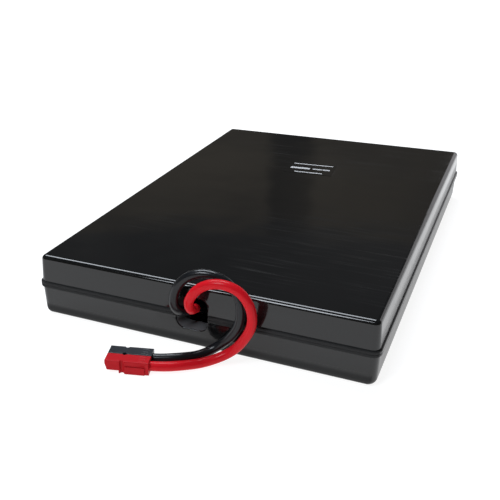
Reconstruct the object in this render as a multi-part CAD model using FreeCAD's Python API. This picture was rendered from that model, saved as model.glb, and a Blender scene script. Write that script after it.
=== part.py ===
import FreeCAD, Part
import math
import os

os.makedirs("parts", exist_ok=True)

# Battery cartridge for a one-unit rack UPS. Millimetres, +Z up, origin at the
# bottom centre of the case, front face towards -Y.

# ---- case -------------------------------------------------------------
case_width = 207.0            # across the top face
case_depth = 316.0            # front to back across the top face
case_height = 40.0
seam_height = 21.2            # where the two shells meet
upper_draft_deg = 3.2         # slope of the side walls of the upper shell
lower_draft_deg = 1.6         # slope of the side walls of the lower shell
wall = 1.8
bead_out = 1.0                # how far the rim bead stands out of the wall
bead_half = 2.1               # height of each half of the bead
bead_round = 0.9              # nearly half round
top_corner_radius = 3.3       # upright corners at the top face
seam_corner_radius = 4.7      # upright corners at the seam
base_corner_radius = 5.2      # upright corners at the bottom face
top_edge_round = 1.7
base_edge_round = 4.5
inner_edge_round = 1.2        # bottom edges inside the lower shell
tongue_thick = 0.7            # joint tongue of the lower shell
tongue_high = 1.4
joint_clearance = 0.1

# ---- lead port in the front face --------------------------------------
port_left = -10.9
port_right = 8.5
port_bottom = 12.0
port_top = 32.4
port_radius = 5.2
port_deep = 9.4               # length of the collar behind the front face
port_lip = 0.7                # softened outer edge of the port

# ---- batteries ---------------------------------------------------------
# Each block fills its quarter of the case: about 151 x 94 x 34.
port_clearance = 1.6          # port collar to the front blocks
back_clearance = 0.8          # back blocks to the shell wall
block_gap = 0.4               # between front and back blocks
side_clearance = 0.8          # block to shell wall
channel_width = 14.9          # wiring channel between the two columns
top_clearance = 1.7           # block to the top of the upper shell
block_wall = 1.6
block_foot_radius = 3.0       # corners away from the terminals
lid_thick = 8.0
tape_thick = 0.7
tape_wide = 20.0
tape_long = 110.0
tape_inset = 18.0             # tape to the edge of the block
cells = 3
cell_partition = 1.2
cell_clearance = 0.3
tab_wide = 6.35
tab_thick = 0.8
tab_out = 5.8                 # length of the tab outside the lid
tab_inset = 14.0              # tab centre from the end of the block
tab_root = 10.0               # length of the tab inside the lid and case
vent_cover_long = 96.0
vent_cover_wide = 14.0
vent_cover_thick = 1.0

# ---- links and receptacles ----------------------------------------------
link_thick = 0.6
link_wide = 5.0
sleeve_thick = 2.6
sleeve_wide = 7.6
sleeve_long = 6.0
barrel_diameter = 5.0
barrel_long = 4.0
barrel_inset = 4.325          # barrel axis from the lid face

# ---- foam and ribs --------------------------------------------------------
pad_clearance = 0.4
pad_end_inset = 4.0           # pad ends stay clear of the rounded corners
rib_thick = 1.4
rib_high = 3.0
rib_clearance = 0.3           # rib to the block lids
rib_inset = 6.0               # rib ends from the ends of the columns

# ---- leads ----------------------------------------------------------------
lead_diameter = 5.5

# ---- connector housings ------------------------------------------------
housing_long = 24.6
housing_side = 7.9
housing_turn_deg = 15.0       # how far the pair is turned on the floor
pair_x = -24.6                # middle of the seam between the housings
pair_front = 32.8             # its distance in front of the case face
housing_edge = 0.5            # rounding of the long edges
nose_long = 7.8               # mating end, cut back underneath
nose_lift = 1.7               # how far its underside is cut back
nose_face_high = 2.1          # upright part of the end face
nose_lean = 1.15              # how far the end face leans back below that
mouth_wide = 5.0
mouth_low = -0.9              # floor of the mouth, from the axis
mouth_high = 3.85
mouth_deep = 12.0
rear_bore = 5.8
pin_at = 9.6                  # pin hole from the mating end
pin_diameter = 2.5
pin_long = 5.0
pin_wall = 0.4
rail_start = 11.1             # rail that joins housings side by side
rail_end = 22.4
rail_high = 0.5
rail_low_z = -3.5
rail_top_z = 0.6
rail_flare = 0.25             # the rail is wider at its outer face
rail_clearance = 0.06
flute_start = 14.5            # flutes that widen towards the lead end
flute_small = 0.15
flute_large = 0.95
flute_deep = 0.45
spring_thick = 0.3
spring_bow = 0.35
tongue_contact_thick = 0.9
contact_wide = 4.5
contact_start = 2.0
contact_low = -0.3
contact_barrel = 4.8
lead_in_housing = 2.0         # how far the lead goes into the housing

# ---- label ---------------------------------------------------------------
label_x = 1.8
label_y = 66.4
label_wide = 38.0
label_long = 26.8
label_thick = 0.12
label_turn_deg = 3.6          # put on by hand, slightly askew

V = FreeCAD.Vector
X = V(1, 0, 0)
Y = V(0, 1, 0)
Z = V(0, 0, 1)
slope = math.tan(math.radians(upper_draft_deg))
low_slope = math.tan(math.radians(lower_draft_deg))
front = -case_depth / 2
back = case_depth / 2

# Sizes of the rounded outline at the three levels.
upper_rise = case_height - seam_height
seam_width = case_width + 2 * slope * upper_rise
seam_depth = case_depth + 2 * slope * upper_rise
base_width = seam_width - 2 * low_slope * seam_height
base_depth = seam_depth - 2 * low_slope * seam_height

# Room for the four blocks.
channel = channel_width / 2
block_front = front + port_deep + port_clearance
block_low = wall + tape_thick
block_long = (back - wall - back_clearance - block_gap - block_front) / 2
block_tall = case_width / 2 - wall - side_clearance + 0.25 - channel
block_thick = case_height - wall - top_clearance - block_low


def outline(width, depth, radius, z):
    """Closed wire: a rectangle with rounded corners, centred on the origin."""
    hx = width / 2
    hy = depth / 2
    k = radius * (1 - math.sqrt(0.5))
    edges = []
    corners = [(1, -1), (1, 1), (-1, 1), (-1, -1)]
    starts = []
    for sx, sy in corners:
        if sx * sy < 0:
            first = V(sx * (hx - radius), sy * hy, z)
            last = V(sx * hx, sy * (hy - radius), z)
        else:
            first = V(sx * hx, sy * (hy - radius), z)
            last = V(sx * (hx - radius), sy * hy, z)
        middle = V(sx * (hx - k), sy * (hy - k), z)
        starts.append((first, middle, last))
    for i in range(4):
        first, middle, last = starts[i]
        edges.append(Part.Arc(first, middle, last).toShape())
        edges.append(Part.LineSegment(last, starts[(i + 1) % 4][0]).toShape())
    return Part.Wire(edges)


def frustum(low, high):
    """Solid between two outlines given as (width, depth, radius, z)."""
    return Part.makeLoft([outline(*low), outline(*high)], True, True)


def prism(width, depth, radius, z0, z1):
    """Upright solid on a rounded rectangle."""
    return frustum((width, depth, radius, z0), (width, depth, radius, z1))


def box(x0, x1, y0, y1, z0, z1):
    """Box between two corners."""
    return Part.makeBox(x1 - x0, y1 - y0, z1 - z0, V(x0, y0, z0))


def edges_at(shape, z, tol=0.01):
    """Edges that lie wholly in the level z."""
    found = []
    for edge in shape.Edges:
        bb = edge.BoundBox
        if abs(bb.ZMin - z) < tol and abs(bb.ZMax - z) < tol:
            found.append(edge)
    return found


def port_profile(grow, y):
    """Wire of the port outline in the plane y, grown outwards by grow."""
    x0 = port_left - grow
    x1 = port_right + grow
    z0 = port_bottom - grow
    z1 = port_top + grow
    r = port_radius + grow
    k = r * (1 - math.sqrt(0.5))
    parts = [
        Part.LineSegment(V(x0 + r, y, z0), V(x1 - r, y, z0)),
        Part.Arc(V(x1 - r, y, z0), V(x1 - k, y, z0 + k), V(x1, y, z0 + r)),
        Part.LineSegment(V(x1, y, z0 + r), V(x1, y, z1 - r)),
        Part.Arc(V(x1, y, z1 - r), V(x1 - k, y, z1 - k), V(x1 - r, y, z1)),
        Part.LineSegment(V(x1 - r, y, z1), V(x0 + r, y, z1)),
        Part.Arc(V(x0 + r, y, z1), V(x0 + k, y, z1 - k), V(x0, y, z1 - r)),
        Part.LineSegment(V(x0, y, z1 - r), V(x0, y, z0 + r)),
        Part.Arc(V(x0, y, z0 + r), V(x0 + k, y, z0 + k), V(x0 + r, y, z0)),
    ]
    return Part.Wire([p.toShape() for p in parts])


def port_prism(grow, y0, y1):
    """Solid of the port outline between two depths."""
    face = Part.Face(port_profile(grow, y0))
    return face.extrude(V(0, y1 - y0, 0))


def one(shape):
    """The single solid of a result, cleaned of needless splits."""
    clean = shape.removeSplitter()
    return clean.Solids[0]


def save(name, shape):
    """Write one node as a STEP file."""
    shape.exportStep("parts/" + name + ".step")
    print(name, "solids", len(shape.Solids), "volume", round(shape.Volume, 1))


# ---- shells -------------------------------------------------------------
# The port collar is cut at the seam, so that each shell carries its half.
face_front = -seam_depth / 2
collar = port_prism(wall, face_front + 0.5, front + port_deep)
port_hole = port_prism(0, face_front - bead_out - 5, front + port_deep + 1)
lip_outer = port_profile(port_lip + bead_out, face_front - bead_out)
lip_inner = port_profile(0, face_front + port_lip)
port_flare = Part.makeLoft([lip_outer, lip_inner], True, True)

mate = (seam_width - 2 * wall, seam_depth - 2 * wall, seam_corner_radius - wall)

# Lower shell: drafted tray, bead, joint tongue, collar half, locating ribs.
tray = frustum((base_width, base_depth, base_corner_radius, 0),
               (seam_width, seam_depth, seam_corner_radius, seam_height))
tray = tray.makeFillet(base_edge_round, edges_at(tray, 0))
bead = prism(seam_width + 2 * bead_out, seam_depth + 2 * bead_out,
             seam_corner_radius + bead_out, seam_height - bead_half, seam_height)
bead = bead.makeFillet(bead_round, edges_at(bead, seam_height - bead_half))
bead = bead.makeChamfer(0.2, edges_at(bead, seam_height))
hollow = frustum((base_width + 2 * low_slope * wall - 2 * wall,
                  base_depth + 2 * low_slope * wall - 2 * wall,
                  base_corner_radius - wall, wall),
                 (mate[0], mate[1], mate[2], seam_height))
hollow = hollow.makeFillet(inner_edge_round, edges_at(hollow, wall))
lower = tray.fuse(bead).cut(hollow)
tongue = prism(mate[0] + 2 * tongue_thick, mate[1] + 2 * tongue_thick,
               mate[2] + tongue_thick, seam_height, seam_height + tongue_high)
tongue = tongue.cut(prism(mate[0], mate[1], mate[2], seam_height,
                          seam_height + tongue_high))
lower = lower.fuse(tongue)
below = box(-case_width, case_width, -case_depth, case_depth, -1, seam_height)
lower = lower.fuse(collar.common(below))

rib_y0 = block_front + rib_inset
rib_y1 = block_front + 2 * block_long - rib_inset
for side in (-1, 1):
    inner = side * (channel - rib_clearance)
    x0 = min(inner, inner - side * rib_thick)
    rib = box(x0, x0 + rib_thick, rib_y0, rib_y1, wall - 0.2, block_low + rib_high)
    lower = lower.fuse(rib)
lower = lower.cut(port_hole).cut(port_flare)
lower = one(lower)

# Upper shell: the same the other way up, with a groove for the tongue.
lid = frustum((seam_width, seam_depth, seam_corner_radius, seam_height),
              (case_width, case_depth, top_corner_radius, case_height))
lid = lid.makeFillet(top_edge_round, edges_at(lid, case_height))
bead = prism(seam_width + 2 * bead_out, seam_depth + 2 * bead_out,
             seam_corner_radius + bead_out, seam_height, seam_height + bead_half)
bead = bead.makeFillet(bead_round, edges_at(bead, seam_height + bead_half))
bead = bead.makeChamfer(0.2, edges_at(bead, seam_height))
hollow = frustum((mate[0], mate[1], mate[2], seam_height),
                 (case_width + 2 * slope * wall - 2 * wall,
                  case_depth + 2 * slope * wall - 2 * wall,
                  top_corner_radius - wall + 0.4, case_height - wall))
upper = lid.fuse(bead).cut(hollow)
groove = tongue_thick + joint_clearance
upper = upper.cut(prism(mate[0] + 2 * groove, mate[1] + 2 * groove, mate[2] + groove,
                        seam_height, seam_height + tongue_high + joint_clearance))
above = box(-case_width, case_width, -case_depth, case_depth, seam_height, case_height)
collar_top = collar.common(above)
upper = upper.fuse(collar_top)
# The tongue passes the collar, so the groove is kept clear there as well.
ring = prism(mate[0] + 2 * groove, mate[1] + 2 * groove, mate[2] + groove,
             seam_height, seam_height + tongue_high + joint_clearance)
ring = ring.cut(prism(mate[0] - 0.2, mate[1] - 0.2, mate[2], seam_height - 1,
                      seam_height + tongue_high + 1))
upper = upper.cut(ring)
upper = upper.cut(port_hole).cut(port_flare)
upper = one(upper)
save("lower_shell", lower)
save("upper_shell", upper)


# ---- one battery block, terminal side at x = 0 facing +X ------------------
def block_case():
    """Open box with partitions that make the cells."""
    body = box(-block_tall, -lid_thick, 0, block_long, 0, block_thick)
    foot = []
    for edge in body.Edges:
        bb = edge.BoundBox
        if bb.ZLength > block_thick - 1 and bb.XMax < -lid_thick - 1:
            foot.append(edge)
    body = body.makeFillet(block_foot_radius, foot)
    bay = (block_long - 2 * block_wall - (cells - 1) * cell_partition) / cells
    for i in range(cells):
        y0 = block_wall + i * (bay + cell_partition)
        body = body.cut(box(-block_tall + block_wall, -lid_thick + 1, y0, y0 + bay,
                            block_wall, block_thick - block_wall))
    return body, bay


def block_lid(tabs):
    """Lid with sockets for the tabs and a seat for the vent cover."""
    plate = box(-lid_thick, 0, 0, block_long, 0, block_thick)
    rim_edges = []
    for edge in plate.Edges:
        if edge.BoundBox.XMin > -0.1:
            rim_edges.append(edge)
    plate = plate.makeFillet(0.8, rim_edges)
    mid_y = block_long / 2
    mid_z = block_thick / 2
    seat = box(-vent_cover_thick, 1, mid_y - vent_cover_long / 2 - 0.2,
               mid_y + vent_cover_long / 2 + 0.2,
               mid_z - vent_cover_wide / 2 - 0.2, mid_z + vent_cover_wide / 2 + 0.2)
    plate = plate.cut(seat)
    for tab in tabs:
        plate = plate.cut(tab)
    return plate


def block_tabs():
    """The two tabs, each a flat blade with a rounded tip."""
    made = []
    for y in (tab_inset, block_long - tab_inset):
        blade = box(-tab_root, tab_out, y - tab_wide / 2, y + tab_wide / 2,
                    block_thick / 2 - tab_thick / 2, block_thick / 2 + tab_thick / 2)
        tips = []
        for edge in blade.Edges:
            bb = edge.BoundBox
            if bb.ZLength > tab_thick - 0.1 and bb.XMin > tab_out - 0.1:
                tips.append(edge)
        blade = blade.makeChamfer(1.0, tips)
        made.append(blade)
    return made


def block_cells(bay):
    """Plate groups, one to each cell."""
    made = []
    c = cell_clearance
    for i in range(cells):
        y0 = block_wall + i * (bay + cell_partition)
        made.append(box(-block_tall + block_wall + c, -tab_root - 0.5,
                        y0 + c, y0 + bay - c,
                        block_wall + c, block_thick - block_wall - c))
    return made


case_shape, bay_long = block_case()
tab_shapes = block_tabs()
lid_shape = block_lid(tab_shapes)
cell_shapes = block_cells(bay_long)
vent_shape = box(-vent_cover_thick, 0, block_long / 2 - vent_cover_long / 2,
                 block_long / 2 + vent_cover_long / 2,
                 block_thick / 2 - vent_cover_wide / 2,
                 block_thick / 2 + vent_cover_wide / 2)


def place(shape, side, y0):
    """Put a block piece in the left (-1) or right (+1) column from y0 backwards."""
    moved = shape.copy()
    if side > 0:
        moved.rotate(V(0, block_long / 2, 0), Z, 180)
    moved.translate(V(side * channel, y0, block_low))
    return moved


second = block_front + block_long + block_gap
all_cells = []
all_tabs = []
all_vents = []
for row, y0 in (("front", block_front), ("back", second)):
    for column, side in (("left", -1), ("right", 1)):
        save("battery_case_" + row + "_" + column, place(case_shape, side, y0))
        save("battery_lid_" + row + "_" + column, place(lid_shape, side, y0))
        for piece in cell_shapes:
            all_cells.append(place(piece, side, y0))
        for piece in tab_shapes:
            all_tabs.append(place(piece, side, y0))
        all_vents.append(place(vent_shape, side, y0))
save("cell_groups", Part.Compound(all_cells))
save("terminal_tabs", Part.Compound(all_tabs))
save("vent_covers", Part.Compound(all_vents))

# ---- mounting tape and foam ---------------------------------------------
strips = []
for y0 in (block_front, second):
    for side in (-1, 1):
        for offset in (tape_inset, block_tall - tape_inset - tape_wide):
            near = side * (channel + offset)
            far = near + side * tape_wide
            middle = y0 + block_long / 2
            strips.append(box(min(near, far), max(near, far), middle - tape_long / 2,
                              middle + tape_long / 2, wall, block_low))
save("mounting_tape", Part.Compound(strips))

pad_high = block_low + block_thick
pad_outer = base_width / 2 - wall - pad_clearance
pad_y0 = -base_depth / 2 + wall + inner_edge_round + pad_clearance / 2
save("foam_pad_left", box(-pad_outer + pad_end_inset, port_left - wall - pad_clearance,
                          pad_y0, block_front, wall, pad_high))
save("foam_pad_right", box(port_right + wall + pad_clearance, pad_outer - pad_end_inset,
                           pad_y0, block_front, wall, pad_high))

# ---- link strips soldered on the tabs --------------------------------------
tab_z = block_low + block_thick / 2
link_low = tab_z + tab_thick / 2
front_last = block_front + block_long - tab_inset
back_first = second + tab_inset
back_last = second + block_long - tab_inset
for name, side in (("link_left", -1), ("link_right", 1)):
    near = side * (channel - 0.6)
    far = near - side * link_wide
    save(name, box(min(near, far), max(near, far), front_last - 3.4,
                   back_first + 3.4, link_low, link_low + link_thick))
save("link_back", box(-channel + 0.6, channel - 0.6, back_last - 3.0,
                      back_last + 3.0, link_low, link_low + link_thick))

# ---- crimp receptacles on the two front tabs --------------------------------
tab_y = block_front + tab_inset
barrel_tip = tab_y - sleeve_wide / 2 - barrel_long
barrel_x = channel - barrel_inset
receptacles = []
for side in (-1, 1):
    x_out = side * (channel - 0.4)
    x_in = x_out - side * sleeve_long
    sleeve = box(min(x_out, x_in), max(x_out, x_in), tab_y - sleeve_wide / 2,
                 tab_y + sleeve_wide / 2, tab_z - sleeve_thick / 2,
                 tab_z + sleeve_thick / 2)
    x_tip = side * (channel - tab_out - 0.1)
    slot = box(min(x_out, x_tip), max(x_out, x_tip), tab_y - tab_wide / 2 - 0.05,
               tab_y + tab_wide / 2 + 0.05, tab_z - tab_thick / 2 - 0.05,
               tab_z + tab_thick / 2 + 0.05)
    barrel = Part.makeCylinder(barrel_diameter / 2, barrel_long,
                               V(side * barrel_x, barrel_tip, tab_z), Y)
    receptacles.append(one(sleeve.fuse(barrel).cut(slot)))
save("lead_receptacles", Part.Compound(receptacles))

# ---- connector housings ----------------------------------------------------
turn = math.radians(housing_turn_deg)
along = V(math.cos(turn), math.sin(turn), 0)      # from mating end to lead end
across = V(math.sin(turn), -math.cos(turn), 0)    # towards the viewer
seam_mid = V(pair_x, front - pair_front, housing_side / 2)


def prism_xz(points, y0, y1):
    """Solid of an outline in X and Z between two Y."""
    corners = [V(x, y0, z) for x, z in points]
    face = Part.Face(Part.makePolygon(corners + [corners[0]]))
    return face.extrude(V(0, y1 - y0, 0))


def prism_yz(points, x0, x1):
    """Solid of an outline in Y and Z between two X."""
    corners = [V(x0, y, z) for y, z in points]
    face = Part.Face(Part.makePolygon(corners + [corners[0]]))
    return face.extrude(V(x1 - x0, 0, 0))


def soft_bar(x0, x1, y, z0, z1):
    """Bar along X, 2 y wide, with rounded long edges."""
    bar = box(x0, x1, -y, y, z0, z1)
    long_edges = []
    for edge in bar.Edges:
        if edge.BoundBox.XLength > x1 - x0 - 0.1:
            long_edges.append(edge)
    return bar.makeFillet(housing_edge, long_edges)


def rail(x0, x1, face, grow):
    """Dovetail on the face y, wider at its outer side, towards -Y."""
    tip = face - rail_high - grow
    points = [
        (face + 0.3, rail_low_z - grow),
        (tip, rail_low_z - rail_flare - grow),
        (tip, rail_top_z + rail_flare + grow),
        (face + 0.3, rail_top_z + grow),
    ]
    return prism_yz(points, x0, x1)


def flute(y, z):
    """Cone that cuts a flute, its axis above the face that it cuts."""
    run = rail_end - flute_start
    out = flute_large - flute_deep
    place = V(flute_start, y[0] + y[1] * out, z[0] + z[1] * out)
    return Part.makeCone(flute_small, flute_large, run, place, X)


def housing_solid():
    """Housing along +X from 0, centred on its axis, with its rail towards -Y."""
    h = housing_side / 2
    body = soft_bar(nose_long, housing_long, h, -h, h)
    body = body.fuse(soft_bar(0, nose_long + 1, h, -h + nose_lift, h))
    body = body.fuse(rail(rail_start, rail_end, -h, 0))
    lean = [
        (-1, h - nose_face_high),
        (0, h - nose_face_high),
        (nose_lean, -h + nose_lift),
        (nose_lean, -h - 1),
        (-1, -h - 1),
    ]
    body = body.cut(prism_xz(lean, -h - 1, h + 1))
    # Mouth for the contact and bore for the lead.
    mouth = box(-1, mouth_deep, -mouth_wide / 2, mouth_wide / 2,
                mouth_low, mouth_low + mouth_high)
    bore = Part.makeCylinder(rear_bore / 2, housing_long, V(mouth_deep - 0.4, 0, 0), X)
    body = body.cut(mouth).cut(bore)
    # Half a pin hole on each side, and the slot for the next housing's rail.
    for side in (-h, h):
        body = body.cut(Part.makeCylinder(pin_diameter / 2, housing_side + 2,
                                          V(pin_at, side, -h - 1), Z))
    body = body.cut(rail(rail_start - rail_clearance, housing_long + 1, h, rail_clearance))
    # Flutes for the fingers, on the top, the underside and the free side.
    for y in (-2.3, 0, 2.3):
        body = body.cut(flute((y, 0), (h, 1)))
        body = body.cut(flute((y, 0), (-h, -1)))
    body = body.cut(flute((-h, -1), (2.2, 0)))
    return one(body)


def set_housing(shape, offset):
    """Turn a housing piece into the pair direction and put it on the floor."""
    moved = shape.copy()
    moved.rotate(V(0, 0, 0), Z, housing_turn_deg)
    base = seam_mid - along * (housing_long / 2) + across * offset
    moved.translate(base)
    return moved


def contact_solid():
    """Contact: a flat tongue with a rounded tip and a crimp barrel."""
    blade = box(contact_start, mouth_deep + 1.0, -contact_wide / 2, contact_wide / 2,
                contact_low, contact_low + tongue_contact_thick)
    tips = []
    for edge in blade.Edges:
        bb = edge.BoundBox
        if bb.XMax < contact_start + 0.1 and bb.YLength > 1:
            tips.append(edge)
    blade = blade.makeFillet(0.35, tips)
    barrel_end = housing_long - lead_in_housing
    barrel = Part.makeCylinder(contact_barrel / 2, barrel_end - mouth_deep,
                               V(mouth_deep, 0, 0), X)
    return one(blade.fuse(barrel))


def spring_solid():
    """Leaf spring on the floor of the mouth, bowed up under the tongue."""
    x0 = contact_start - 0.4
    x1 = mouth_deep - 0.6
    middle = (x0 + x1) / 2
    low = mouth_low
    under = Part.Arc(V(x0, 0, low), V(middle, 0, low + spring_bow), V(x1, 0, low)).toShape()
    over = Part.Arc(V(x0, 0, low + spring_thick),
                    V(middle, 0, low + spring_thick + spring_bow - 0.08),
                    V(x1, 0, low + spring_thick)).toShape()
    sides = [
        Part.LineSegment(V(x0, 0, low), V(x0, 0, low + spring_thick)).toShape(),
        Part.LineSegment(V(x1, 0, low + spring_thick), V(x1, 0, low)).toShape(),
    ]
    face = Part.Face(Part.Wire(Part.__sortEdges__([under, sides[1], over, sides[0]])))
    strip = face.extrude(V(0, contact_wide - 0.3, 0))
    strip.translate(V(0, -(contact_wide - 0.3) / 2, 0))
    return strip


def pin_solid():
    """Rolled spring pin with a slit along one side."""
    outer = pin_diameter / 2 - 0.05
    tube = Part.makeCylinder(outer, pin_long, V(pin_at, 0, -pin_long / 2), Z)
    bore = Part.makeCylinder(outer - pin_wall, pin_long + 2, V(pin_at, 0, -pin_long / 2 - 1), Z)
    slit = box(pin_at, pin_at + outer + 1, -0.2, 0.2, -pin_long, pin_long)
    return one(tube.cut(bore).cut(slit))


contact = contact_solid()
spring = spring_solid()
half = housing_side / 2
save("red_housing", set_housing(housing_solid(), half))
save("black_housing", set_housing(housing_solid(), -half))
save("red_contact", set_housing(contact, half))
save("black_contact", set_housing(contact, -half))
save("red_spring", set_housing(spring, half))
save("black_spring", set_housing(spring, -half))
save("retaining_pin", set_housing(pin_solid(), 0))

# ---- leads -------------------------------------------------------------------
lead_end = housing_long / 2 - lead_in_housing
red_end = seam_mid + across * half + along * lead_end
black_end = seam_mid - across * half + along * lead_end

# Points the leads pass near, between the straight run out of the crimp barrel
# and the straight run into the housing. Depth is counted from the case face.
black_first_run = 5.2
black_last_run = 5.5
red_first_run = 5.7
red_last_run = 8.0
black_route = [
    (-3.7, 6.3, 20.8),
    (-5.2, 0.9, 22.2),
    (-7.8, -5.6, 25.1),
    (-10.8, -7.9, 32.0),
    (-8.5, -7.0, 42.3),
    (-1.0, -5.8, 50.4),
    (10.7, -4.4, 53.4),
    (21.9, -3.0, 49.5),
    (29.7, -4.9, 40.6),
    (30.9, -6.2, 27.0),
    (26.0, -5.6, 16.2),
    (16.8, -5.4, 7.1),
    (6.7, -12.2, 2.2),
    (-0.8, -20.7, 4.5),
]
red_route = [
    (1.0, 3.8, 24.8),
    (2.4, -3.3, 27.4),
    (2.3, -9.7, 29.7),
    (2.1, -13.1, 37.5),
    (9.3, -13.0, 47.5),
    (20.2, -12.4, 51.5),
    (31.2, -11.1, 48.7),
    (38.5, -9.7, 40.1),
    (39.8, -9.0, 28.5),
    (34.2, -8.5, 18.0),
    (24.9, -8.6, 7.9),
    (13.1, -15.8, 2.2),
    (4.3, -25.7, 4.2),
]


def lead_wire(points):
    """Straight runs joined by tangent arcs, and the radii of the arcs."""
    edges = []
    radii = []
    at = points[0]
    for i in range(1, len(points) - 1):
        before = points[i] - points[i - 1]
        after = points[i + 1] - points[i]
        turned = before.getAngle(after)
        reach = 0.45 * min(before.Length, after.Length)
        radius = reach / math.tan(turned / 2)
        before.normalize()
        after.normalize()
        first = points[i] - before * reach
        last = points[i] + after * reach
        inward = after - before
        inward.normalize()
        sag = radius * (1 / math.cos(turned / 2) - 1)
        edges.append(Part.LineSegment(at, first).toShape())
        edges.append(Part.Arc(first, points[i] + inward * sag, last).toShape())
        radii.append(radius)
        at = last
    edges.append(Part.LineSegment(at, points[-1]).toShape())
    return Part.Wire(edges), radii


def lead(name, start, first_run, route, last_run, end):
    """Round lead along a route; prints its length and bend radii."""
    points = [start, start - Y * first_run]
    for x, depth, z in route:
        points.append(V(x, front + depth, z))
    points.append(end + along * last_run)
    points.append(end)
    wire, radii = lead_wire(points)
    heading = points[1] - points[0]
    circle = Part.Circle(points[0], heading, lead_diameter / 2)
    profile = Part.Wire([circle.toShape()])
    tube = wire.makePipeShell([profile], True, False)
    section = math.pi * lead_diameter ** 2 / 4
    ratio = tube.Volume / (section * wire.Length)
    print(name, "length", round(wire.Length, 1), "volume ratio", round(ratio, 4))
    print(name, "radii", [round(r, 1) for r in radii])
    print(name, "lowest", round(tube.BoundBox.ZMin, 3))
    save(name, tube)
    return tube


lead("red_lead", V(barrel_x, barrel_tip, tab_z), red_first_run, red_route,
     red_last_run, red_end)
lead("black_lead", V(-barrel_x, barrel_tip, tab_z), black_first_run, black_route,
     black_last_run, black_end)

# ---- label -----------------------------------------------------------------
label = box(-label_wide / 2, label_wide / 2, -label_long / 2, label_long / 2,
            case_height, case_height + label_thick)
corners = []
for edge in label.Edges:
    if edge.BoundBox.ZLength > label_thick / 2:
        corners.append(edge)
label = label.makeFillet(1.5, corners)
label.rotate(V(0, 0, 0), Z, label_turn_deg)
label.translate(V(label_x, label_y, 0))
save("top_label", label)
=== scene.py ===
import math

import bmesh
import bpy
import numpy as np
from bpy.props import FloatProperty, FloatVectorProperty, PointerProperty
from mathutils import Matrix, Vector


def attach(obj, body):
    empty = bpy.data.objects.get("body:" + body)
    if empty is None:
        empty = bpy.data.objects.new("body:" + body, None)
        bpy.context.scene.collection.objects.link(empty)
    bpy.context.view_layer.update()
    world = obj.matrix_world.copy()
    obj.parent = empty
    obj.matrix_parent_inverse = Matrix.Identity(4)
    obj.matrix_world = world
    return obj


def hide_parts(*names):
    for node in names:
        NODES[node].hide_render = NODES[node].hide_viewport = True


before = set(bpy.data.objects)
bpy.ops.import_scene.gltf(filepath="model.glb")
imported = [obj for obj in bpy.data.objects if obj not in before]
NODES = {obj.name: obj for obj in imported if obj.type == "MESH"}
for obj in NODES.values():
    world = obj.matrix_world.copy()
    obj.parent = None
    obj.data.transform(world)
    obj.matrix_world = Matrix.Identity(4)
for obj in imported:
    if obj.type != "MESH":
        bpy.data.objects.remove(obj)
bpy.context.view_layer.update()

bl_info = {
    "name": "Battery cartridge",
    "version": (1, 0, 0),
    "blender": (4, 5, 0),
    "location": "View3D > Sidebar > Cartridge",
    "description": "Dresses the battery cartridge: shells, leads, connector housings and what is inside",
    "category": "Object",
}


# ---- shader writing ---------------------------------------------------------
class Wire:
    """A shader socket that can be used in plain arithmetic. Each sum, product
    or comparison adds one Math node to the same tree."""

    def __init__(self, paint, socket):
        self.paint = paint
        self.socket = socket

    def _math(self, operation, a, b=None):
        values = [a] if b is None else [a, b]
        return self.paint.node("ShaderNodeMath", {"operation": operation}, *values)

    def __add__(self, other): return self._math("ADD", self, other)
    def __radd__(self, other): return self._math("ADD", other, self)
    def __sub__(self, other): return self._math("SUBTRACT", self, other)
    def __rsub__(self, other): return self._math("SUBTRACT", other, self)
    def __mul__(self, other): return self._math("MULTIPLY", self, other)
    def __rmul__(self, other): return self._math("MULTIPLY", other, self)
    def __truediv__(self, other): return self._math("DIVIDE", self, other)
    def __lt__(self, other): return self._math("LESS_THAN", self, other)
    def __abs__(self): return self._math("ABSOLUTE", self)
    def power(self, other): return self._math("POWER", self, other)
    def low(self, other): return self._math("MINIMUM", self, other)
    def high(self, other): return self._math("MAXIMUM", self, other)

    def ramp(self, start, end):
        """0 up to start, 1 from end on, smooth between."""
        return self.paint.node(
            "ShaderNodeMapRange",
            {"interpolation_type": "SMOOTHSTEP", "clamp": True},
            self, start, end, 0.0, 1.0)


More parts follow.
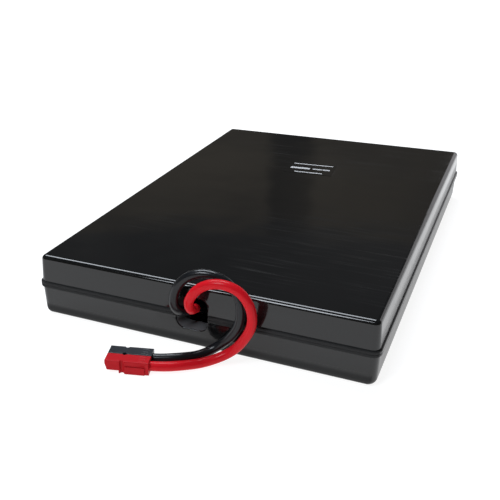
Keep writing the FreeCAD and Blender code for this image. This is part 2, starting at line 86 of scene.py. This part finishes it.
class Tree:
    """A node tree and the helpers that add nodes to it."""

    def __init__(self, tree):
        self.tree = tree

    def node(self, kind, settings=None, *values, out=0, **named):
        """Adds a node: settings first, then values or links in socket order
        (None leaves a socket alone), then sockets by name. Returns an output."""
        node = self.tree.nodes.new(kind)
        for key, value in (settings or {}).items():
            if key == "stops":
                ramp = node.color_ramp
                while len(ramp.elements) < len(value):
                    ramp.elements.new(0.5)
                for element, (place, colour) in zip(ramp.elements, value):
                    element.position = place
                    element.color = (*colour, 1.0)
            else:
                setattr(node, key, value)
        sockets = [s for s in node.inputs if s.enabled] if kind == "ShaderNodeMix" else node.inputs
        pairs = [(sockets[i], v) for i, v in enumerate(values) if v is not None]
        pairs += [(node.inputs[k.replace("_", " ")], v) for k, v in named.items()]
        for socket, value in pairs:
            if isinstance(value, Wire):
                self.tree.links.new(value.socket, socket)
            elif socket.type == "RGBA" and len(value) == 3:
                socket.default_value = (*value, 1.0)
            else:
                socket.default_value = value
        shown = [o for o in node.outputs if o.enabled]
        return Wire(self, node.outputs[out] if isinstance(out, str) else shown[out])

    def place(self, scale=(1, 1, 1), turn=(0, 0, 0), shift=(0, 0, 0), kind="POINT"):
        """Object coordinates, scaled, turned and shifted. Kind TEXTURE gives
        the coordinates of a patch that lies at shift, turned by turn."""
        where = self.node("ShaderNodeTexCoord", out="Object")
        return self.node("ShaderNodeMapping", {"vector_type": kind}, where, shift, turn, scale)

    def parts(self, vector):
        """The x, y and z of a vector."""
        split = self.node("ShaderNodeSeparateXYZ", {}, vector)
        return [Wire(self, o) for o in split.socket.node.outputs]

    def noise(self, where, scale, detail=3.0, rough=0.5, warp=0.0):
        """Cloudy noise from 0 to 1."""
        return self.node("ShaderNodeTexNoise", {}, where, Scale=scale, Detail=detail,
                         Roughness=rough, Distortion=warp)

    def mix(self, factor, a, b):
        """Colour a where factor is 0, b where it is 1."""
        return self.node("ShaderNodeMix", {"data_type": "RGBA"}, factor, a, b)

    def band(self, value, low, high, soft):
        """1 between low and high, 0 outside, with soft borders."""
        return value.ramp(low - soft, low) * (1 - value.ramp(high, high + soft))


class Paint(Tree):
    """One material with a Principled shader."""

    def __init__(self, name, **constants):
        self.material = bpy.data.materials.new(name)
        self.material.use_nodes = True
        super().__init__(self.material.node_tree)
        self.shader = self.tree.nodes["Principled BSDF"]
        for key, value in constants.items():
            self.shader.inputs[key.replace("_", " ")].default_value = value

    def bump(self, height, strength, distance):
        """Normal from a height."""
        return self.node("ShaderNodeBump", {}, Strength=strength, Distance=distance, Height=height)

    def feed(self, **links):
        """Links outputs to the shader's own sockets."""
        for key, value in links.items():
            self.tree.links.new(value.socket, self.shader.inputs[key.replace("_", " ")])
        return self.material


def settings():
    return bpy.context.scene.cartridge


def grey(level):
    """A neutral colour."""
    return (level, level, level)


# ---- surfaces worked out as arrays -------------------------------------------
def grid_mesh(name, points, ring=False, smooth=True):
    """Mesh from an array of points with shape (rows, columns, 3). Each cell of
    the grid is one quad. A ring joins the last column to the first."""
    rows, cols = points.shape[:2]
    index = np.arange(rows * cols).reshape(rows, cols)
    if ring:
        index = np.concatenate([index, index[:, :1]], axis=1)
    quads = np.stack([index[:-1, :-1], index[:-1, 1:], index[1:, 1:], index[1:, :-1]], axis=-1)
    mesh = bpy.data.meshes.new(name)
    mesh.from_pydata(points.reshape(-1, 3).tolist(), [], quads.reshape(-1, 4).tolist())
    mesh.polygons.foreach_set("use_smooth", np.full(len(mesh.polygons), smooth))
    mesh.update()
    return mesh


def add(name, data, material):
    """An object at the origin that rides on the cartridge."""
    piece = bpy.data.objects.new(name, data)
    bpy.context.scene.collection.objects.link(piece)
    if material:
        data.materials.clear()
        data.materials.append(material)
    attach(piece, "root")
    return piece


def dress(material, *nodes):
    """Gives CAD nodes their material."""
    for name in nodes:
        piece = NODES[name]
        for i in range(len(piece.material_slots)):
            piece.material_slots[i].material = material


def smooth_copy(node, name, material, soft_edge=0.0, crease=46.0):
    """A copy of a CAD node as one joined surface: its rounds are shaded smooth
    and edges of more than crease degrees stay sharp, or are broken by soft_edge
    (metres). It stands for the node."""
    mesh = NODES[node].data.copy()
    joined = bmesh.new()
    joined.from_mesh(mesh)
    bmesh.ops.remove_doubles(joined, verts=joined.verts, dist=2e-6)
    if soft_edge:
        bmesh.ops.dissolve_limit(joined, angle_limit=math.radians(1.0), verts=joined.verts,
                                 edges=joined.edges)
    joined.to_mesh(mesh)
    joined.free()
    mesh.polygons.foreach_set("use_smooth", np.full(len(mesh.polygons), True))
    mesh.set_sharp_from_angle(angle=math.radians(crease))
    mesh.name = name
    piece = add(name, mesh, material)
    if soft_edge:
        bevel = piece.modifiers.new("soft edges", "BEVEL")
        bevel.width = soft_edge
        bevel.segments = 2
        bevel.limit_method = "ANGLE"
        bevel.angle_limit = math.radians(40.0)
        bevel.harden_normals = True
    even = piece.modifiers.new("even shading", "WEIGHTED_NORMAL")
    even.keep_sharp = True
    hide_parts(node)
    return piece


# ---- settings ------------------------------------------------------------------
class CartridgeSettings(bpy.types.PropertyGroup):
    """Sizes and colours that a user would change."""
    lead_diameter: FloatProperty(
        name="Lead diameter", description="Outside diameter of both leads",
        default=0.0055, min=0.003, max=0.008, unit="LENGTH")
    shell_colour: FloatVectorProperty(
        name="Shell", description="Colour of the moulded shells",
        default=(0.0042, 0.0043, 0.0046), subtype="COLOR", size=3, min=0, max=1)
    shell_roughness: FloatProperty(
        name="Shell roughness", description="Roughness of the polished shells",
        default=0.07, min=0, max=1, subtype="FACTOR")
    scuffs: FloatProperty(
        name="Scuffs", description="How plainly the wipe marks on the shells show",
        default=1.0, min=0, max=3, subtype="FACTOR")
    red_colour: FloatVectorProperty(
        name="Red", description="Colour of the red lead and housing",
        default=(0.67, 0.0095, 0.018), subtype="COLOR", size=3, min=0, max=1)
    black_colour: FloatVectorProperty(
        name="Black", description="Colour of the black lead and housing",
        default=(0.0065, 0.0075, 0.0095), subtype="COLOR", size=3, min=0, max=1)
    print_colour: FloatVectorProperty(
        name="Label print", description="Colour of the plain bars on the label",
        default=(0.55, 0.55, 0.56), subtype="COLOR", size=3, min=0, max=1)
    # Painted shade: floor_glow is the dimmer glow of the table under the part, which stands in for its
    # shadow there.
    floor_glow: FloatProperty(
        name="Floor glow", description="How much the light table under the part glows",
        default=0.90, min=0, max=3, subtype="FACTOR")


# ---- camera ----------------------------------------------------------------------
CAMERA_PLACE = (0.15415, -0.49405, 0.22950)
CAMERA_VIEW = (-0.39087, 0.81534, -0.42714)
CAMERA_ROLL = math.radians(-1.0635)


class CARTRIDGE_OT_camera(bpy.types.Operator):
    """Sets up the camera in front of the case, to the right and above"""
    bl_idname = "cartridge.camera"
    bl_label = "Camera"

    def execute(self, context):
        data = bpy.data.cameras.new("camera")
        data.sensor_width = 36.0
        data.lens = 53.606
        data.shift_x = 0.1357
        data.shift_y = 0.02356
        data.clip_end = 60.0
        forward = Vector(CAMERA_VIEW).normalized()
        right = forward.cross(Vector((0, 0, 1))).normalized()
        up = right.cross(forward)
        tilted = right * math.cos(CAMERA_ROLL) + up * math.sin(CAMERA_ROLL)
        upright = up * math.cos(CAMERA_ROLL) - right * math.sin(CAMERA_ROLL)
        turn = Matrix((tilted, upright, -forward)).transposed()
        camera = bpy.data.objects.new("camera", data)
        camera.matrix_world = Matrix.Translation(CAMERA_PLACE) @ turn.to_4x4()
        context.scene.collection.objects.link(camera)
        context.scene.camera = camera
        return {"FINISHED"}


# ---- leads -------------------------------------------------------------------------
# Control points of the two leads, in metres: from the receptacle inside the
# port, out, up and round in a loop, and along the floor into the housing.
BLACK_ROUTE = [
    (-0.0031, -0.1408, 0.0195), (-0.0033, -0.1460, 0.0196), (-0.0046, -0.1517, 0.0204),
    (-0.0061, -0.1571, 0.0221), (-0.0082, -0.1636, 0.0251), (-0.0098, -0.1659, 0.0320),
    (-0.0074, -0.1650, 0.0415), (-0.0004, -0.1638, 0.0491), (0.0103, -0.1624, 0.0519),
    (0.0212, -0.1610, 0.0482), (0.0297, -0.1629, 0.0406), (0.0309, -0.1642, 0.0270),
    (0.0253, -0.1636, 0.0162), (0.0167, -0.1634, 0.0074), (0.0087, -0.1702, 0.0035),
    (0.000560, -0.178700, 0.005048), (-0.010361, -0.182895, 0.003950), (-0.015673, -0.184319, 0.003950),
]
RED_ROUTE = [
    (0.0031, -0.1408, 0.0195), (0.0027, -0.1456, 0.0201), (0.0009, -0.1497, 0.0214),
    (0.0000, -0.1546, 0.0242), (0.0019, -0.1613, 0.0276), (0.0023, -0.1677, 0.0297),
    (0.0021, -0.1711, 0.0375), (0.0093, -0.1710, 0.0475), (0.0202, -0.1704, 0.0515),
    (0.0312, -0.1691, 0.0487), (0.0375, -0.1677, 0.0395), (0.0386, -0.1670, 0.0283),
    (0.0337, -0.1665, 0.0174), (0.0261, -0.1666, 0.0075), (0.0135, -0.1738, 0.0021),
    (0.004292, -0.183700, 0.003711), (-0.005901, -0.189879, 0.003950), (-0.013629, -0.191950, 0.003950),
]


def lead_curve(name, route, diameter):
    """Smooth tube along a route, one NURBS spline of order 3 that starts and
    ends at its first and last points."""
    curve = bpy.data.curves.new(name, "CURVE")
    curve.dimensions = "3D"
    curve.bevel_depth = diameter / 2
    curve.bevel_resolution = 6
    curve.resolution_u = 14
    curve.use_fill_caps = True
    spline = curve.splines.new("NURBS")
    spline.points.add(len(route) - 1)
    spline.points.foreach_set("co", np.column_stack([route, np.ones(len(route))]).ravel())
    spline.use_smooth = True
    spline.order_u = 3
    spline.use_endpoint_u = True
    return curve


def lead_material(name, colour, gloss, coat):
    """Soft jacket of silicone: a satin skin with faint dust and broad, gentle
    unevenness, and a thin clear gloss."""
    paint = Paint(name, Specular_IOR_Level=gloss, Coat_Weight=coat, Coat_Roughness=0.20,
                  Coat_IOR=1.45)
    where = paint.place()
    _, y, _ = paint.parts(where)
    grime = paint.noise(where, 420.0, 4.0, 0.6)
    broad = paint.noise(where, 60.0, 3.0, 0.5)
    tone = paint.mix(broad * 0.45 + grime * 0.25, colour, [c * 0.72 for c in colour])
    # Painted shade: the end of the lead inside the port is painted near black, standing in for the shade
    # in the port.
    tone = paint.mix(y.ramp(-0.1580, -0.1574), tone, (0.006, 0.006, 0.0065))
    rough = grime * 0.06 + broad * 0.08 + 0.32
    skin = paint.noise(where, 1500.0, 2.0, 0.5)
    normal = paint.bump(skin + grime * 1.5, 0.10, 0.00005)
    return paint.feed(Base_Color=tone, Roughness=rough, Normal=normal)


class CARTRIDGE_OT_leads(bpy.types.Operator):
    """Makes the red and the black lead as smooth tubes from the port to the housings"""
    bl_idname = "cartridge.leads"
    bl_label = "Leads"

    def execute(self, context):
        own = settings()
        red = lead_material("red_jacket", list(own.red_colour), 0.03, 0.25)
        black = lead_material("black_jacket", list(own.black_colour), 0.08, 0.65)
        pin = NODES["retaining_pin"]
        # The black lead is drawn shorter than the source's, which is 0.1658 long.
        for name, route, material, slot, exit, length, more in (
            ("red", RED_ROUTE, red, "red_insulation", (0.0011, -0.1585, 0.0262), 0.1671, [pin]),
            ("black", BLACK_ROUTE, black, "black_insulation", (-0.0065, -0.1585, 0.0228),
             0.1625, []),
        ):
            curve = lead_curve(name + "_lead_jacket", route, own.lead_diameter)
            piece = add(name + "_lead_jacket", curve, material)
            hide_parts(name + "_lead")
            bpy.data.objects[name + "_connector"]
            NODES[name + "_contact"]
            NODES[name + "_spring"]
        return {"FINISHED"}


# ---- connector housings ----------------------------------------------------------------
def housing_material(name, colour, gloss):
    """Moulded plastic with a satin skin: a very fine grain, a little wear that
    pales the tone, and a faint flow mark along the part."""
    paint = Paint(name, Specular_IOR_Level=gloss)
    where = paint.place()
    grain = paint.noise(where, 2600.0, 3.0, 0.6)
    flow = paint.noise(paint.place(scale=(90, 420, 420), turn=(0, 0, -0.26)), 1.0, 4.0, 0.6)
    worn = paint.noise(where, 300.0, 5.0, 0.7).ramp(0.60, 0.78)
    tone = paint.mix(flow * 0.5, colour, [c * 0.70 for c in colour])
    tone = paint.mix(worn * 0.12, tone, [min(1.0, c * 1.5 + 0.02) for c in colour])
    rough = flow * 0.16 + grain * 0.06 + 0.22
    normal = paint.bump(grain + flow * 2.0, 0.18, 0.00006)
    return paint.feed(Base_Color=tone, Roughness=rough, Normal=normal)


def metal_material(name, colour, rough, grain, stretch):
    """Metal with fine drawing lines along its length and darker tarnish."""
    paint = Paint(name, Metallic=1.0)
    lines = paint.noise(paint.place(scale=stretch), grain, 4.0, 0.6)
    tarnish = paint.noise(paint.place(), 160.0, 4.0, 0.6).ramp(0.45, 0.75)
    tone = paint.mix(tarnish * 0.5, colour, [c * 0.55 for c in colour])
    return paint.feed(Base_Color=tone, Roughness=lines * 0.18 + rough,
                      Normal=paint.bump(lines, 0.12, 0.00005))


class CARTRIDGE_OT_housings(bpy.types.Operator):
    """Gives the two housings soft edges and satin plastic, and their metal parts a metal finish"""
    bl_idname = "cartridge.housings"
    bl_label = "Connector housings"

    def execute(self, context):
        own = settings()
        red = housing_material("red_moulding", [c * 0.74 for c in own.red_colour], 0.12)
        black = housing_material("black_moulding", [c * 2.6 for c in own.black_colour], 0.25)
        smooth_copy("red_housing", "red_connector", red, 0.00014, 14.0)
        smooth_copy("black_housing", "black_connector", black,
                    0.00014, 14.0)
        dress(metal_material("contact_silver", (0.78, 0.77, 0.74), 0.20, 60.0, (8, 40, 40)),
              "red_contact", "black_contact")
        dress(metal_material("spring_steel", (0.52, 0.52, 0.54), 0.28, 60.0, (8, 40, 40)),
              "red_spring", "black_spring", "retaining_pin")
        return {"FINISHED"}


# ---- shells --------------------------------------------------------------------------
# The upper shell's outer walls, in millimetres: half width and half depth of
# the top face, its height, how far the walls lean out per millimetre down, and
# the upright corners' radius at the top and its growth per millimetre down.
TOP_HALF = (103.5, 158.0)
TOP_Z = 40.0
LEAN = math.tan(math.radians(3.2))
CORNER, CORNER_GROWTH = 3.3, 1.4 / 18.8
# Where the shells' finish changes, in metres: the seam bead's height, half the
# width and depth of the cavity and its height, and the port through the front.
SEAM = (0.0191, 0.0233)
CAVITY_HALF = (0.1008, 0.1553)
CAVITY_Z = (0.0030, 0.0372)
PORT_X, PORT_Y, PORT_Z = (-0.0112, 0.0088), (-0.1581, -0.1400), (0.0117, 0.0327)


def lid_envelope(edge_round):
    """Closed solid that touches the lid all round its top edge. Its section
    goes up outside the wall, closes in to the wall's own lean, and turns over
    the edge on an arc: with a the angle from level to straight up, the arc is
    centre + edge_round * (cos a, sin a), where the centre lies edge_round from
    the wall and from the top. Each level of the section is carried round a
    rounded rectangle: corner centre + corner radius * (cos t, sin t)."""
    gap = 0.004
    lean = math.atan(LEAN)
    centre_z = TOP_Z + gap - edge_round
    centre_out = LEAN * (TOP_Z - centre_z) + gap - edge_round / math.cos(lean)
    arc = np.linspace(lean, math.pi / 2, 13)
    levels = np.concatenate([[10.0, 33.0, 34.5], centre_z + edge_round * np.sin(arc)])
    wall = LEAN * (TOP_Z - levels)
    out = np.concatenate([[5.0, 4.0, wall[2] + gap], centre_out + edge_round * np.cos(arc)])
    radius = np.maximum(CORNER + CORNER_GROWTH * (TOP_Z - levels) + out - wall, 0.12)
    turn = np.linspace(0, math.pi / 2, 9)
    quarter = (turn[None, :] + np.arange(4)[:, None] * math.pi / 2).ravel()
    side_x = np.repeat([1, -1, -1, 1], len(turn))
    side_y = np.repeat([1, 1, -1, -1], len(turn))
    half_x = (TOP_HALF[0] + out - radius)[:, None]
    half_y = (TOP_HALF[1] + out - radius)[:, None]
    x = side_x * half_x + radius[:, None] * np.cos(quarter)
    y = side_y * half_y + radius[:, None] * np.sin(quarter)
    rings = np.stack([x, y, np.broadcast_to(levels[:, None], x.shape)], axis=-1) / 1000
    count = rings.shape[1]
    mesh = grid_mesh("lid_envelope", rings[:, ::-1], ring=True)
    lid = bmesh.new()
    lid.from_mesh(mesh)
    lid.verts.ensure_lookup_table()
    lid.faces.new(lid.verts[:count])
    lid.faces.new(lid.verts[-count:])
    bmesh.ops.recalc_face_normals(lid, faces=lid.faces)
    lid.to_mesh(mesh)
    lid.free()
    return mesh


def round_lid(upper, edge_round=2.9):
    """Rounds the lid's top edge: keeps what the moulding shares with the envelope."""
    tool = bpy.data.objects.new("lid_envelope", lid_envelope(edge_round))
    bpy.context.scene.collection.objects.link(tool)
    cut = upper.modifiers.new("edge round", "BOOLEAN")
    cut.operation = "INTERSECT"
    cut.solver = "EXACT"
    cut.object = tool
    upper.modifiers.move(len(upper.modifiers) - 1, 0)
    even = upper.modifiers["even shading"]
    even.show_viewport = False
    shaped = bpy.data.meshes.new_from_object(upper.evaluated_get(bpy.context.evaluated_depsgraph_get()))
    upper.modifiers.remove(cut)
    even.show_viewport = True
    bpy.data.objects.remove(tool)
    shaped.polygons.foreach_set("use_smooth", np.full(len(shaped.polygons), True))
    shaped.set_sharp_from_angle(angle=math.radians(40.0))
    shaped.name = upper.name
    upper.data = shaped


class CARTRIDGE_OT_shells(bpy.types.Operator):
    """Gives the shells smooth rounds and polished black plastic with wipe marks"""
    bl_idname = "cartridge.shells"
    bl_label = "Shells"

    def execute(self, context):
        own = settings()
        base = list(own.shell_colour)
        paint = Paint("shell_gloss", IOR=1.5)
        where = paint.place()
        x, y, z = paint.parts(where)
        # Wipe marks: fine streaks that run across the lid in patches.
        patch = paint.noise(where, 11.0, 2.0, 0.5).ramp(0.46, 0.66)
        wipe = paint.noise(paint.place(scale=(22, 420, 160), turn=(0, 0, 0.30)), 1.0, 5.0, 0.62)
        wipe = wipe.ramp(0.46, 0.80) * patch * own.scuffs
        smear = paint.noise(paint.place(scale=(12, 60, 40), turn=(0, 0, -0.5)), 1.0, 4.0, 0.6)
        smear = smear.ramp(0.48, 0.80)
        # Specks of dust.
        dust = paint.noise(where, 900.0, 2.0, 0.5).ramp(0.74, 0.80)
        # The inside is matt from the tool, and its colour is painted light: a pale grey standing in for
        # the light inside the port. At the front and the back the seam bead and the foot are rubbed matt
        # by sliding in and out of the bay, and the long sides are worn to a satin.
        seam = paint.band(z, *SEAM, 0.0002)
        inside = (abs(x) < CAVITY_HALF[0]) * (abs(y) < CAVITY_HALF[1])
        inside = inside * paint.band(z, *CAVITY_Z, 0.0001)
        hole = paint.band(x, *PORT_X, 0.0001) * paint.band(z, *PORT_Z, 0.0001)
        inside = inside.high(hole * paint.band(y, *PORT_Y, 0.0002))
        tone = paint.mix(paint.noise(where, 9.0, 3.0, 0.55), base, [c * 1.5 for c in base])
        tone = paint.mix(wipe * 0.5 + dust * 0.6, tone, (0.022, 0.022, 0.023))
        # Painted light: the inside and the port's walls are painted a pale grey, lighter than the black
        # moulding.
        tone = paint.mix(inside, tone, (0.14, 0.14, 0.145))
        rough = wipe * 0.22 + smear * 0.05 + own.shell_roughness
        foot = (1 - z.ramp(0.0055, 0.0105)) * 0.75
        ends = abs(y).ramp(0.1570, 0.1580)
        rough = rough.high(seam * ends * 0.80).high(inside * 0.45).high(foot * ends)
        rough = rough.high(abs(x).ramp(0.1037, 0.1042) * 0.30)
        ripple = paint.noise(where, 14.0, 2.0, 0.5)
        normal = paint.bump(ripple, 0.06, 0.01)
        gloss = paint.feed(Base_Color=tone, Roughness=rough, Normal=normal)
        smooth_copy("lower_shell", "lower_moulding", gloss)
        upper = smooth_copy("upper_shell", "upper_moulding", gloss)
        round_lid(upper)
        return {"FINISHED"}


# ---- label -----------------------------------------------------------------------------
# Plain bars that stand for the print: centre x and y, half length and half
# height in metres, in the label's own directions from its middle.
BARS = [
    (-0.0002, 0.0101, 0.0158, 0.00072), (-0.0087, -0.0006, 0.0077, 0.0017),
    (0.0050, -0.0004, 0.0036, 0.0011), (0.01215, -0.0004, 0.00285, 0.0011),
    (-0.0002, -0.0101, 0.0110, 0.00072),
]


class CARTRIDGE_OT_label(bpy.types.Operator):
    """Gives the label its black film with plain pale bars"""
    bl_idname = "cartridge.label"
    bl_label = "Label"

    def execute(self, context):
        own = settings()
        paint = Paint("label_film", IOR=1.5)
        spot = paint.place(kind="TEXTURE", shift=(0.0018, 0.0664, 0.0), turn=(0, 0, math.radians(3.6)))
        u, v, _ = paint.parts(spot)
        ink = None
        for along, across, long, tall in BARS:
            bar = paint.band(u, along - long, along + long, 0.00015)
            bar = bar * paint.band(v, across - tall, across + tall, 0.00015)
            ink = bar if ink is None else ink.high(bar)
        grain = paint.noise(paint.place(), 1400.0, 3.0, 0.6)
        ink = ink * (1 - grain.ramp(0.60, 0.75) * 0.35)
        tone = paint.mix(ink, (0.0050, 0.0050, 0.0054), list(own.print_colour))
        rough = paint.noise(paint.place(), 90.0, 3.0, 0.5) * 0.10 + ink * 0.25 + 0.12
        film = paint.feed(Base_Color=tone, Roughness=rough, Normal=paint.bump(grain, 0.05, 0.00004))
        dress(film, "top_label")
        return {"FINISHED"}


# ---- what is inside ----------------------------------------------------------------------
def moulded(name, colour, rough, grain):
    """Matt moulded plastic with a pebbled skin and a little dust in its hollows."""
    paint = Paint(name)
    where = paint.place()
    pebble = paint.noise(where, grain, 3.0, 0.55)
    cloud = paint.noise(where, 22.0, 4.0, 0.6)
    tone = paint.mix(cloud * 0.6 + pebble * 0.3, colour, [c * 0.6 for c in colour])
    return paint.feed(Base_Color=tone, Roughness=pebble * 0.15 + rough,
                      Normal=paint.bump(pebble, 0.30, 0.0001))


class CARTRIDGE_OT_inside(bpy.types.Operator):
    """Gives the batteries, pads, tape, links and receptacles their materials"""
    bl_idname = "cartridge.inside"
    bl_label = "Inside"

    def execute(self, context):
        corners = ("front_left", "front_right", "back_left", "back_right")
        dress(moulded("case_grey", (0.20, 0.21, 0.22), 0.48, 1500.0),
              *("battery_case_" + c for c in corners))
        dress(moulded("lid_black", (0.030, 0.030, 0.033), 0.42, 1300.0),
              *("battery_lid_" + c for c in corners))
        dress(moulded("vent_black", (0.02, 0.02, 0.022), 0.30, 2400.0), "vent_covers")
        dress(moulded("receptacle_black", (0.05, 0.05, 0.055), 0.36, 2000.0), "lead_receptacles")
        dress(metal_material("tinned_brass", (0.72, 0.66, 0.50), 0.26, 40.0, (10, 10, 60)),
              "terminal_tabs")
        dress(metal_material("nickel_strip", (0.62, 0.60, 0.56), 0.24, 40.0, (10, 60, 60)),
              "link_left", "link_right", "link_back")
        paint = Paint("plates_and_mat")
        layer = paint.node("ShaderNodeTexWave", {"wave_type": "BANDS", "bands_direction": "X"},
                           paint.place(), Scale=190.0, Distortion=0.6, Detail=1.0)
        fibre = paint.noise(paint.place(scale=(1, 1, 6)), 700.0, 4.0, 0.6)
        tone = paint.mix(layer.ramp(0.35, 0.6), (0.17, 0.17, 0.18), (0.62, 0.62, 0.58))
        tone = paint.mix(fibre * 0.5, tone, (0.30, 0.30, 0.30))
        dress(paint.feed(Base_Color=tone, Roughness=fibre * 0.2 + 0.55,
                         Normal=paint.bump(fibre, 0.3, 0.0002)), "cell_groups")
        for name, colour, scale, nodes in (
            ("closed_cell_foam", (0.045, 0.045, 0.048), 1100.0, ("foam_pad_left", "foam_pad_right")),
            ("mounting_foam", (0.62, 0.61, 0.57), 1800.0, ("mounting_tape",)),
        ):
            paint = Paint(name, Specular_IOR_Level=0.2)
            where = paint.place()
            cells = paint.node("ShaderNodeTexVoronoi", {"feature": "F1"}, where, Scale=scale)
            cloud = paint.noise(where, 45.0, 4.0, 0.6)
            tone = paint.mix(cells, [c * 0.55 for c in colour], [min(1, c * 1.2) for c in colour])
            tone = paint.mix(cloud * 0.4, tone, [c * 0.7 for c in colour])
            dress(paint.feed(Base_Color=tone, Roughness=cloud * 0.1 + 0.80,
                             Normal=paint.bump(cells, 0.6, 0.0003)), *nodes)
        return {"FINISHED"}


# ---- stage --------------------------------------------------------------------------------
class CARTRIDGE_OT_stage(bpy.types.Operator):
    """Light table, soft boxes and a dim room"""
    bl_idname = "cartridge.stage"
    bl_label = "Stage"

    def execute(self, context):
        scene = context.scene
        scene.view_settings.view_transform = "Standard"
        floor = Paint("light_table", Roughness=0.7, Specular_IOR_Level=0.1,
                      Base_Color=(0.26, 0.26, 0.265, 1), Emission_Strength=1.0)
        x, y, _ = floor.parts(floor.place())
        # Painted shade: the table glows dimmer under and around the part and brighter further out,
        # standing in for the part's shadow on the table.
        away = (x * x + y * y).power(0.5).ramp(0.25, 0.75)
        glow = settings().floor_glow
        floor.feed(Emission_Color=floor.mix(away, grey(glow), grey(1.08)))
        s = np.linspace(-1, 1, 9)
        gx, gy = np.meshgrid(s * 9.0, s * 9.0, indexing="ij")
        table = grid_mesh("light_table", np.stack([gx, gy, gx * 0.0], axis=-1), smooth=False)
        piece = bpy.data.objects.new("light_table", table)
        table.materials.append(floor.material)
        scene.collection.objects.link(piece)
        # Each soft box: where it hangs, what it faces, its two sizes in metres,
        # how bright its face is, and its tint.
        for name, spot, aim, wide, deep, face, tint in (
            ("top_box", (-0.62, 0.50, 1.6), (-0.62, 0.40, 0.0), 1.45, 0.85, 9.0, (0.87, 0.93, 1.0)),
            ("front_box", (-0.40, -1.12, 1.16), (0, -0.15, 0), 0.52, 0.55, 13.0, (0.87, 0.93, 1.0)),
            ("side_card", (0.70, 2.35, 0.55), (0, 0, 0), 1.6, 0.9, 0.8, (0.95, 0.95, 1.0)),
        ):
            light = bpy.data.lights.new(name, "AREA")
            light.shape = "RECTANGLE"
            light.size = wide
            light.size_y = deep
            light.energy = face * math.pi * wide * deep
            light.color = tint
            lamp = bpy.data.objects.new(name, light)
            back = Vector(spot) - Vector(aim)
            turn = back.to_track_quat("Z", "Y").to_matrix().to_4x4()
            lamp.matrix_world = Matrix.Translation(spot) @ turn
            scene.collection.objects.link(lamp)
        world = bpy.data.worlds.new("dim_room")
        world.use_nodes = True
        room = Tree(world.node_tree)
        where = room.node("ShaderNodeTexCoord", out="Generated")
        east, north, rise = room.parts(where)
        cloud = room.noise(where, 5.0, 3.0, 0.55).ramp(0.35, 0.65)
        wall = room.mix(cloud, (0.130, 0.116, 0.094), (0.085, 0.077, 0.066))
        wall = room.mix(rise.ramp(0.24, 0.32), (0.075, 0.068, 0.058), wall)
        stand = room.band(east / north, -0.325, -0.280, 0.022) * (cloud * 0.4 + 0.5)
        wall = room.mix(stand, wall, (0.022, 0.022, 0.022))
        upper = room.mix(cloud, (0.088, 0.088, 0.088), (0.055, 0.055, 0.056))
        tone = room.mix(rise.ramp(0.374, 0.394), wall, upper)
        room.tree.links.new(tone.socket, world.node_tree.nodes["Background"].inputs["Color"])
        scene.world = world
        return {"FINISHED"}


class CARTRIDGE_PT_panel(bpy.types.Panel):
    """The pieces of the cartridge, in the order they are made"""
    bl_label = "Battery cartridge"
    bl_idname = "CARTRIDGE_PT_panel"
    bl_space_type = "VIEW_3D"
    bl_region_type = "UI"
    bl_category = "Cartridge"

    def draw(self, context):
        for name in CartridgeSettings.__annotations__:
            self.layout.prop(context.scene.cartridge, name)
        for operator in OPERATORS:
            self.layout.operator(operator.bl_idname)


OPERATORS = (
    CARTRIDGE_OT_camera,
    CARTRIDGE_OT_housings,
    CARTRIDGE_OT_leads,
    CARTRIDGE_OT_shells,
    CARTRIDGE_OT_label,
    CARTRIDGE_OT_inside,
    CARTRIDGE_OT_stage,
)
CLASSES = (CartridgeSettings, *OPERATORS, CARTRIDGE_PT_panel)


def register():
    for cls in CLASSES:
        bpy.utils.register_class(cls)
    bpy.types.Scene.cartridge = PointerProperty(type=CartridgeSettings)


def unregister():
    del bpy.types.Scene.cartridge
    for cls in reversed(CLASSES):
        bpy.utils.unregister_class(cls)


def main():
    """Makes the whole part."""
    register()
    for operator in OPERATORS:
        getattr(bpy.ops.cartridge, operator.bl_idname.split(".")[1])()


if __name__ == "__main__":
    main()
